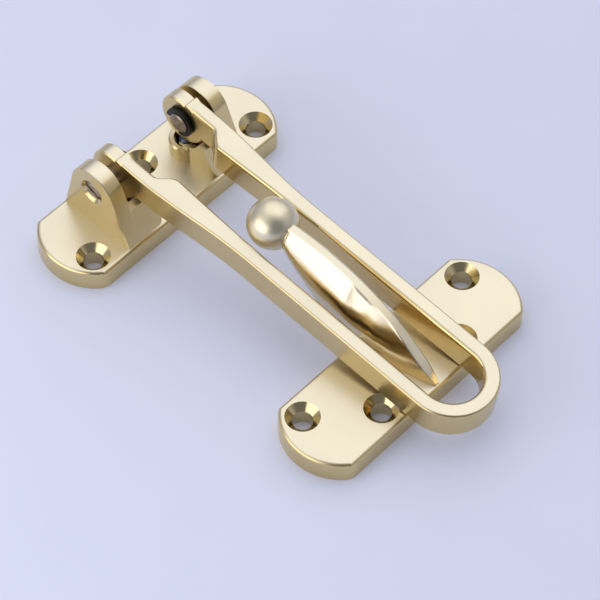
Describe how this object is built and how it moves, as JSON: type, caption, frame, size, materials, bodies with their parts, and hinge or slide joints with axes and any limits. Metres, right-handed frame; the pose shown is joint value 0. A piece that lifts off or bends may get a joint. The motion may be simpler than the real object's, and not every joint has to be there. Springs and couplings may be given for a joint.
{
  "type": "swing bar door guard",
  "caption": "Door guard with a slotted swing bar hinged on an oblong plate, and a separate keeper plate whose curved arm ends in a ball that runs in the slot.",
  "frame": {"origin": "centre of the hinge plate's back face, the face that lies on the door frame", "axes": "+X from the hinge plate towards the keeper along the closed bar, +Y along the hinge plate's length towards its right-hand ear, +Z away from the door"},
  "size_m": [0.1211, 0.0734, 0.028],
  "materials": {
    "satin_brass": "satin, brushed and lacquered",
    "ball_brass": "turned, fine satin",
    "pin_steel": "plain, slightly dulled",
    "blackened_steel": "black oxide, oiled",
    "ball_steel": "polished, dark",
    "spring_steel": "drawn wire"
  },
  "bodies": {
    "base": {"hinge_plate": "satin_brass", "hinge_pin_left": "pin_steel", "hinge_pin_right": "pin_steel", "pin_ring_left": "blackened_steel", "pin_ring_right": "blackened_steel", "detent_spring_left": "spring_steel", "detent_spring_right": "spring_steel", "keeper_plate": "satin_brass", "keeper_ball": "ball_brass"},
    "bar": {"swing_bar": "satin_brass"},
    "detent_left": {"detent_ball_left": "ball_steel"},
    "detent_right": {"detent_ball_right": "ball_steel"}
  },
  "joints": [
    {"name": "bar_swing", "type": "hinge", "parent": "base", "child": "bar", "pos_m": [-0.0013, 0, 0.018], "axis": [0, -1, 0], "range_deg": [0, 180]},
    {"name": "detent_left_press", "type": "slide", "parent": "base", "child": "detent_left", "axis": [0, 0, 1], "range_m": [-0.0006, 0], "stiffness_N_per_m": 1000, "springref_m": 0.0008, "deforming": ["detent_spring_left"]},
    {"name": "detent_right_press", "type": "slide", "parent": "base", "child": "detent_right", "axis": [0, 0, 1], "range_m": [-0.0006, 0], "stiffness_N_per_m": 1000, "springref_m": 0.0008, "deforming": ["detent_spring_right"]}
  ]
}
